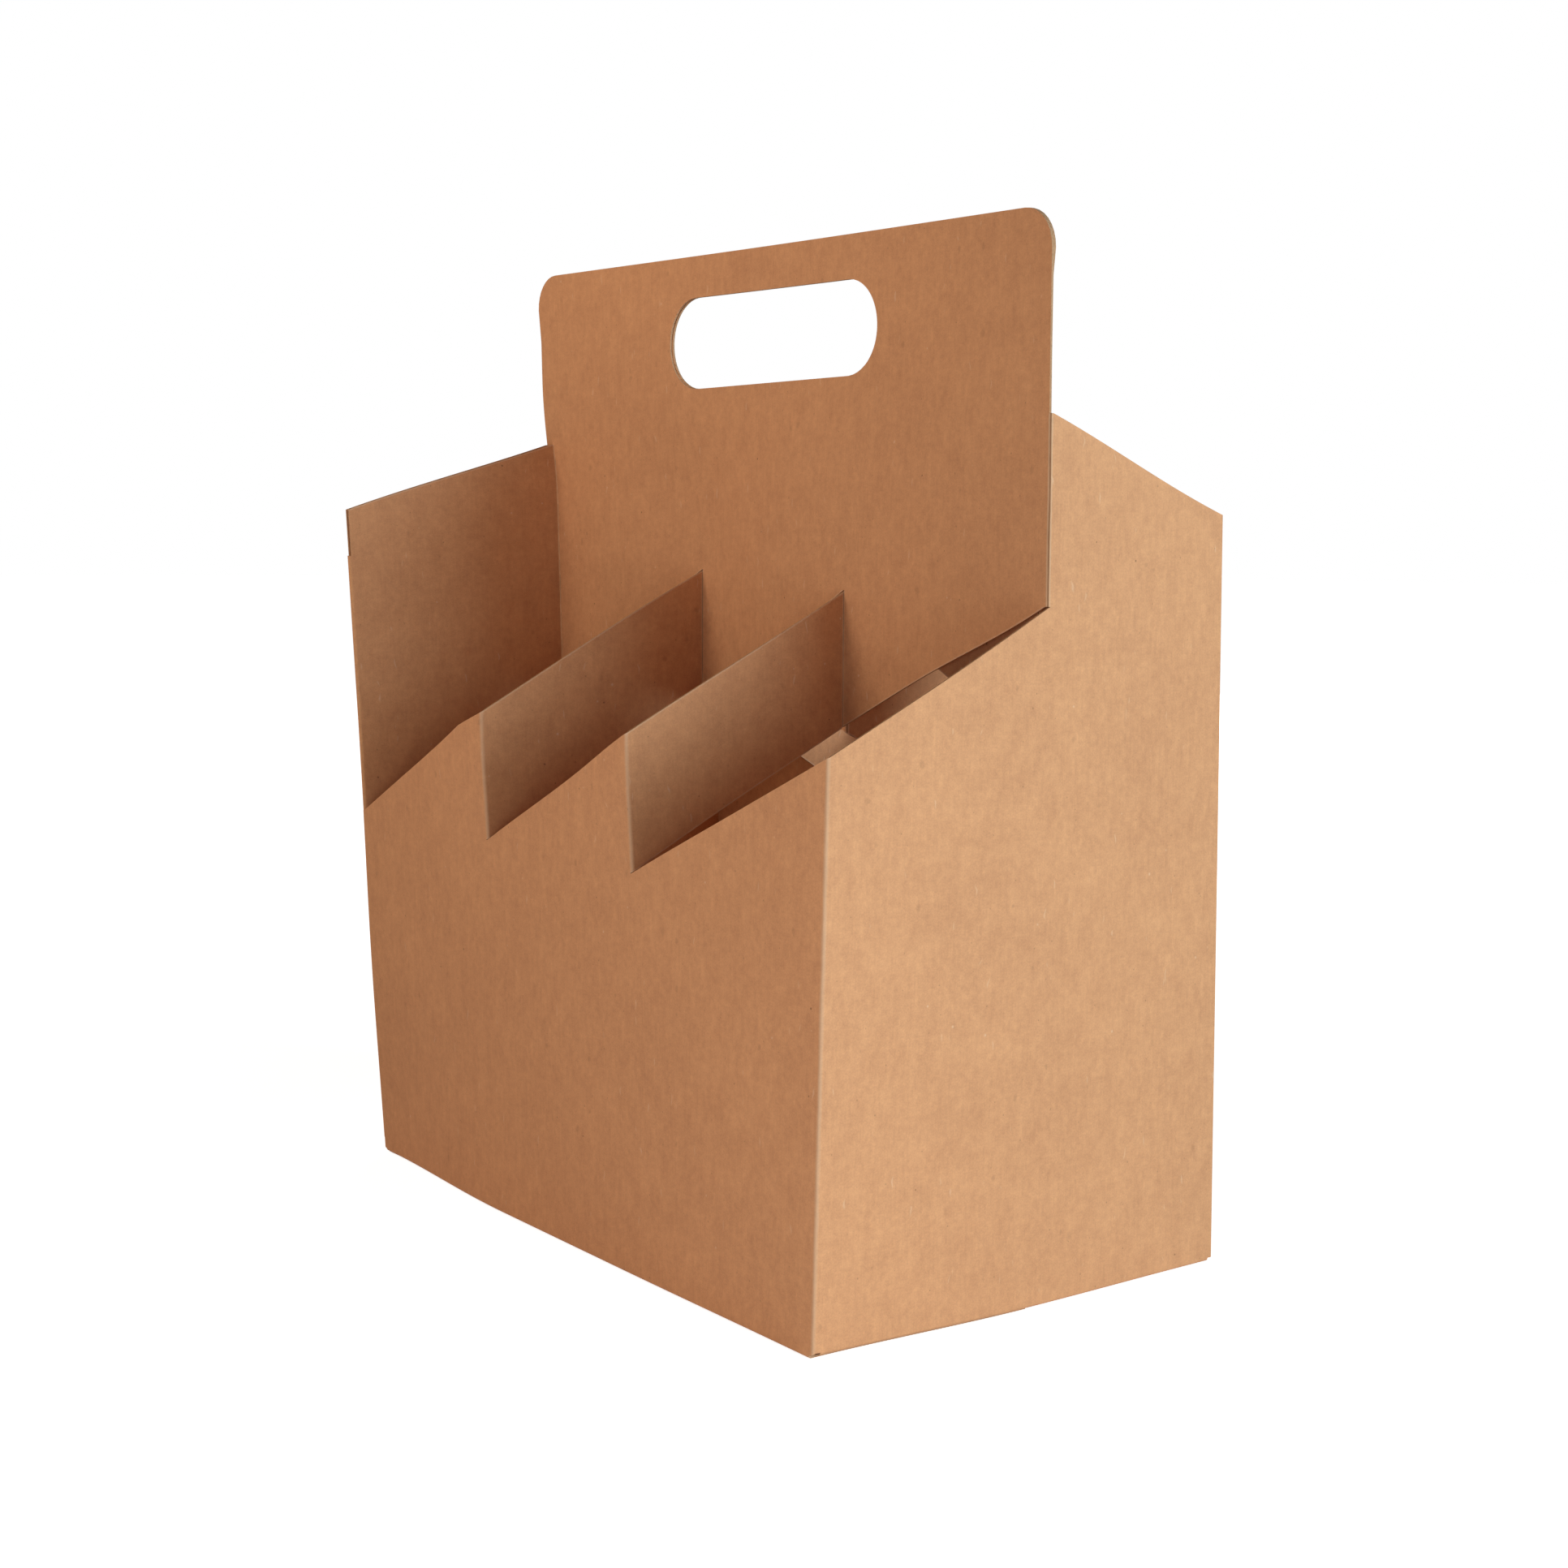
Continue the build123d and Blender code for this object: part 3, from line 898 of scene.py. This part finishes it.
def with_marks(tree, place, colour, finish):
    """Colour with the board's soft flecks, dark specks and pale fibres."""
    loose = wandered(tree, place, WANDER_SCALE, WANDER_REACH)
    flecks = marks(tree, loose, FLECK_SCALE, turn=0.0, share=0.05, size=0.24)
    colour = tinted(tree, colour, flecks, finish.speck_and_shade, strength=0.16)
    specks = marks(tree, place, SPECK_SCALE, turn=0.0, share=0.022, size=0.11)
    fine_specks = marks(tree, place, FINE_SPECK_SCALE, turn=0.6, share=0.02, size=0.24)
    fine_specks = math_node(tree, "MULTIPLY", fine_specks, FINE_SPECK_WEIGHT)
    dark = math_node(tree, "MAXIMUM", specks, fine_specks)
    colour = tinted(tree, colour, dark, finish.speck_and_shade, strength=0.62)
    spots = marks(tree, place, PALE_SPOT_SCALE, turn=0.3, share=0.006, size=0.22)
    pale = math_node(tree, "MULTIPLY", spots, PALE_SPOT_WEIGHT)
    for turn in FIBRE_TURNS:
        hairs = marks(tree, loose, FIBRE_SCALE, turn=turn, share=0.011, size=0.30)
        pale = math_node(tree, "MAXIMUM", pale, hairs)
    return tinted(tree, colour, pale, finish.fibre_and_highlight, strength=0.36)


def with_lines(tree, streaks, colour, finish):
    """Colour with a painted highlight along the folds, painted shade in the hinges' grooves and
    painted highlights on their lips, and frayed cuts; and the fold's and the lips' masks, which stand
    out.
    """
    wobble = math_node(tree, "MULTIPLY", centred(tree, streaks), WOBBLE_REACH)
    # Pale bead along each fold: a painted highlight on the rounded crease.
    fold = math_node(tree, "ADD", kept_value(tree, "fold"), wobble)
    fold_highlight = within(tree, fold, full=0.1 * MILLIMETRE, none=0.7 * MILLIMETRE)
    colour = tinted(tree, colour, fold_highlight, finish.fibre_and_highlight, strength=0.4)
    # Hinge: the dark line in its groove is painted shade, and the pale lips on either side are painted
    # highlights.
    hinge = math_node(tree, "MULTIPLY_ADD", wobble, HINGE_WOBBLE, kept_value(tree, "hinge"))
    groove_shade = within(tree, hinge, full=0.12 * MILLIMETRE, none=0.22 * MILLIMETRE)
    lip_highlights = within(tree, hinge, full=0.42 * MILLIMETRE, none=0.6 * MILLIMETRE)
    lip_highlights = math_node(tree, "SUBTRACT", lip_highlights, groove_shade)
    colour = tinted(tree, colour, lip_highlights, finish.fibre_and_highlight, strength=0.42)
    colour = tinted(tree, colour, groove_shade, finish.speck_and_shade, strength=0.6)
    cut = math_node(tree, "ADD", kept_value(tree, "cut"), wobble)
    fray = within(tree, cut, full=0.2 * MILLIMETRE, none=0.45 * MILLIMETRE)
    return tinted(tree, colour, fray, finish.fibre_and_highlight, strength=0.45), fold_highlight, lip_highlights


def new_material(name):
    """Material without nodes, and its tree."""
    material = bpy.data.materials.new(name)
    material.use_nodes = True
    material.node_tree.nodes.clear()
    return material, material.node_tree


def rough_surface(tree, colour, height, relief, roughness, gloss):
    """Surface of a colour with a fine relief."""
    bump = node(tree, "ShaderNodeBump", Height=height, Strength=relief, Distance=RELIEF_DEPTH)
    look = {"Base_Color": colour, "Roughness": roughness, "Specular_IOR_Level": gloss}
    shader = node(tree, "ShaderNodeBsdfPrincipled", Normal=bump.outputs[0], **look)
    node(tree, "ShaderNodeOutputMaterial", Surface=shader.outputs[0])


def kraft_face(name, finish):
    """Kraft board: uneven tone, specks, flecks and fibres over one plain colour, with painted
    highlights at its folds and hinges and painted shade in the hinges' grooves.
    """
    material, tree = new_material(name)
    along = kept_value(tree, "flat_x")
    up = kept_value(tree, "flat_y")
    place = node(tree, "ShaderNodeCombineXYZ", X=along, Y=up).outputs[0]
    tone, streaks, grain = board_tone(tree, place, finish)
    spread = vector_math(tree, "MULTIPLY_ADD", tone, finish.tone_spread, (1.0, 1.0, 1.0))
    colour = vector_math(tree, "MULTIPLY", spread, finish.face)
    colour = with_marks(tree, place, colour, finish)
    colour, fold_highlight, lip_highlights = with_lines(tree, streaks, colour, finish)
    height = math_node(tree, "MULTIPLY", grain, GRAIN_RELIEF)
    for ridge, weight in ((streaks, STREAK_RELIEF), (fold_highlight, LINE_RELIEF), (lip_highlights, LINE_RELIEF)):
        height = math_node(tree, "MULTIPLY_ADD", ridge, weight, height)
    rough_surface(tree, colour, height, relief=0.3, roughness=finish.roughness, gloss=0.25)
    return material


def raw_edge(name, finish):
    """Raw cut edge: the board's pale core, with streaks across its thickness."""
    material, tree = new_material(name)
    place = node(tree, "ShaderNodeTexCoord").outputs["Object"]
    fuzz = noise(tree, place, FUZZ_SCALE, detail=3.0, roughness=0.6)
    span = {"From_Min": 0.3, "From_Max": 0.7, "To_Min": 0.78, "To_Max": 1.08}
    light = node(tree, "ShaderNodeMapRange", Value=fuzz, **span).outputs[0]
    colour = vector_math(tree, "MULTIPLY", light, finish.edge)
    rough_surface(tree, colour, fuzz, relief=0.4, roughness=0.9, gloss=0.15)
    return material


def make_blank(name, cad_node, half_turn):
    """Folded blank that stands for a CAD node, with its faces and its cut edges."""
    scene = bpy.context.scene
    sizes = scene.carrier_sizes
    piece = bpy.data.objects.new(name, folded_mesh(name, sizes, half_turn))
    scene.collection.objects.link(piece)
    piece.data.materials.append(kraft_face(name + "_face", scene.carrier_finish))
    piece.data.materials.append(raw_edge(name + "_cut_edge", scene.carrier_finish))
    give_board(piece, sizes)
    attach(piece, "root")
    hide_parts(cad_node)
    return piece


class CARRIER_OT_front_blank(bpy.types.Operator):
    """Fold the blank of the front half, with its panel, right end, dividers and handle ply"""

    bl_idname = "carrier.front_blank"
    bl_label = "Front blank"

    def execute(self, context):
        make_blank("front_blank", "front_half", False)
        return {"FINISHED"}


class CARRIER_OT_back_blank(bpy.types.Operator):
    """Fold the blank of the back half, which is the front one turned half round"""

    bl_idname = "carrier.back_blank"
    bl_label = "Back blank"

    def execute(self, context):
        make_blank("back_blank", "back_half", True)
        return {"FINISHED"}


def place_camera(stage):
    """Camera at the photograph's viewing angle."""
    a, e, roll = stage.azimuth, stage.elevation, stage.roll
    back = Vector((math.sin(a) * math.cos(e), -math.cos(a) * math.cos(e), math.sin(e)))
    level_right = (-back).cross(Vector((0, 0, 1))).normalized()
    level_down = (-back).cross(level_right)
    right = math.cos(roll) * level_right + math.sin(roll) * level_down
    down = math.cos(roll) * level_down - math.sin(roll) * level_right
    data = bpy.data.cameras.new("camera")
    data.lens = stage.lens
    data.shift_x = stage.shift_x
    data.shift_y = stage.shift_y
    camera = bpy.data.objects.new("camera", data)
    turn = Matrix((right, -down, back)).transposed().to_4x4()
    aim = Vector((0, 0, stage.aim_height))
    spot = aim + back * stage.distance + right * stage.aim_right + down * stage.aim_down
    camera.matrix_world = Matrix.Translation(spot) @ turn
    bpy.context.scene.collection.objects.link(camera)
    bpy.context.scene.camera = camera


def add_lamp(name, spot, aim, size, power, colour):
    """Square area lamp that looks at a point."""
    data = bpy.data.lights.new(name, "AREA")
    data.shape = "SQUARE"
    data.size = size
    data.energy = power
    data.color = colour
    lamp = bpy.data.objects.new(name, data)
    lamp.location = spot
    lamp.rotation_euler = (Vector(aim) - Vector(spot)).to_track_quat("-Z", "Y").to_euler()
    bpy.context.scene.collection.objects.link(lamp)


# Floor disc, and half the length and depth of the rectangle under the carrier where it is dark
FLOOR_REACH = 6.0
FLOOR_SIDES = 64
FLOOR_DROP = 0.3 * MILLIMETRE
DARK_FLOOR = 0.105, 0.058
WHITE = 1.0, 1.0, 1.0, 1.0
FLOOR_GREY = 0.86, 0.85, 0.84, 1.0

# Colour and strength of the light from all round
ROOM_COLOUR = 1.0, 0.97, 0.94, 1.0
ROOM_LIGHT = 0.006


def seen_directly(tree):
    """One for rays of the camera, of glossy faces and through clear ones, else nought."""
    seen = tree.nodes.new("ShaderNodeLightPath")
    shown = math_node(tree, "MAXIMUM", seen.outputs["Is Camera Ray"], seen.outputs["Is Glossy Ray"])
    return math_node(tree, "MAXIMUM", shown, seen.outputs["Is Transmission Ray"])


def pale_floor():
    """Pale floor disc that keeps the carrier's shadow and is dark under the carrier."""
    angle = np.linspace(0, 2 * np.pi, FLOOR_SIDES + 1)[:-1]
    rim = [FLOOR_REACH * np.cos(angle), FLOOR_REACH * np.sin(angle), 0 * angle - FLOOR_DROP]
    mesh = bpy.data.meshes.new("floor")
    mesh.from_pydata(np.stack(rim, -1), [], [list(range(FLOOR_SIDES))])
    floor = bpy.data.objects.new("floor", mesh)
    bpy.context.scene.collection.objects.link(floor)
    material, tree = new_material("pale_floor")
    place = node(tree, "ShaderNodeTexCoord").outputs["Object"]
    away = node(tree, "ShaderNodeVectorMath", Vector=place)
    away.operation = "LENGTH"
    span = {"From_Min": 0.2, "From_Max": 0.7, "To_Min": 0.82, "To_Max": 1.0}
    glow = node(tree, "ShaderNodeMapRange", Value=away.outputs["Value"], **span).outputs[0]
    spot = node(tree, "ShaderNodeSeparateXYZ", Vector=place)
    outside = 0.0
    for axis, reach in zip("XY", DARK_FLOOR):
        beyond = math_node(tree, "ABSOLUTE", spot.outputs[axis])
        beyond = math_node(tree, "GREATER_THAN", beyond, reach)
        outside = math_node(tree, "MAXIMUM", outside, beyond)
    strength = math_node(tree, "MULTIPLY", seen_directly(tree), outside)
    strength = math_node(tree, "MULTIPLY", strength, glow)
    lit = node(tree, "ShaderNodeEmission", Color=WHITE, Strength=strength)
    diffuse = node(tree, "ShaderNodeBsdfDiffuse", Color=FLOOR_GREY)
    both = tree.nodes.new("ShaderNodeAddShader")
    feed(tree, both.inputs[0], diffuse.outputs[0])
    feed(tree, both.inputs[1], lit.outputs[0])
    node(tree, "ShaderNodeOutputMaterial", Surface=both.outputs[0])
    floor.data.materials.append(material)


def pale_world():
    """Soft light from all round, white where the camera sees it."""
    world = bpy.data.worlds.new("pale_room")
    world.use_nodes = True
    tree = world.node_tree
    tree.nodes.clear()
    soft = node(tree, "ShaderNodeBackground", Color=ROOM_COLOUR, Strength=ROOM_LIGHT)
    white = node(tree, "ShaderNodeBackground", Color=WHITE, Strength=1.0)
    mixed = tree.nodes.new("ShaderNodeMixShader")
    parts = seen_directly(tree), soft.outputs[0], white.outputs[0]
    for socket, value in zip(mixed.inputs, parts):
        feed(tree, socket, value)
    node(tree, "ShaderNodeOutputWorld", Surface=mixed.outputs[0])
    bpy.context.scene.world = world


# Each lamp: its place, the point it looks at, its side in metres, its watts and its colour
MIDDLE = 0.0, 0.0, 0.12
LAMPS = {
    "key_lamp": ((1.75, 0.62, 0.44), MIDDLE, 1.0, 30.8, (0.89, 1.0, 1.02)),
    "left_lamp": ((-1.4, -1.1, 0.8), MIDDLE, 1.2, 2.6, (1.0, 0.45, 0.2)),
    "back_lamp": ((-1.2, 1.35, 0.42), MIDDLE, 0.9, 8.0, (1.0, 0.97, 0.94)),
    "upper_lamp": ((-0.11, -0.32, 0.42), (0.0, 0.0, 0.22), 0.22, 0.77, (1.0, 0.82, 0.65)),
    "low_lamp": ((0.19, -0.26, 0.022), (0.05, -0.06, 0.1), 0.06, 0.075, (1.0, 0.94, 0.88)),
    "right_lamp": ((0.26, -0.28, 0.12), (0.03, -0.03, 0.13), 0.08, 0.13, (1.0, 0.94, 0.88)),
}


class CARRIER_OT_stage(bpy.types.Operator):
    """Set up the camera, the lamps, the pale floor and the pale room"""

    bl_idname = "carrier.stage"
    bl_label = "Stage"

    def execute(self, context):
        place_camera(context.scene.carrier_stage)
        for name, lamp in LAMPS.items():
            add_lamp(name, *lamp)
        pale_floor()
        pale_world()
        context.scene.view_settings.view_transform = "Standard"
        return {"FINISHED"}


class CARRIER_PT_panel(bpy.types.Panel):
    """Lists the carrier's pieces, sizes and colours"""

    bl_idname = "CARRIER_PT_panel"
    bl_label = "Bottle carrier"
    bl_space_type = "VIEW_3D"
    bl_region_type = "UI"
    bl_category = "Carrier"

    def draw(self, context):
        for operator in PIECES:
            self.layout.operator(operator.bl_idname)
        for name, kind in GROUPS.items():
            group = getattr(context.scene, name)
            box = self.layout.box()
            for value in kind.__annotations__:
                box.prop(group, value)


GROUPS = {
    "carrier_sizes": CarrierSizes,
    "carrier_slack": CarrierSlack,
    "carrier_finish": CarrierFinish,
    "carrier_stage": CarrierStage,
}
PIECES = (CARRIER_OT_front_blank, CARRIER_OT_back_blank, CARRIER_OT_stage)


def register():
    for name, group in GROUPS.items():
        bpy.utils.register_class(group)
        setattr(bpy.types.Scene, name, bpy.props.PointerProperty(type=group))
    for made in (*PIECES, CARRIER_PT_panel):
        bpy.utils.register_class(made)


def unregister():
    for made in (CARRIER_PT_panel, *reversed(PIECES)):
        bpy.utils.unregister_class(made)
    for name, group in GROUPS.items():
        delattr(bpy.types.Scene, name)
        bpy.utils.unregister_class(group)


def main():
    register()
    bpy.ops.carrier.front_blank()
    bpy.ops.carrier.back_blank()
    bpy.ops.carrier.stage()


if __name__ == "__main__":
    main()
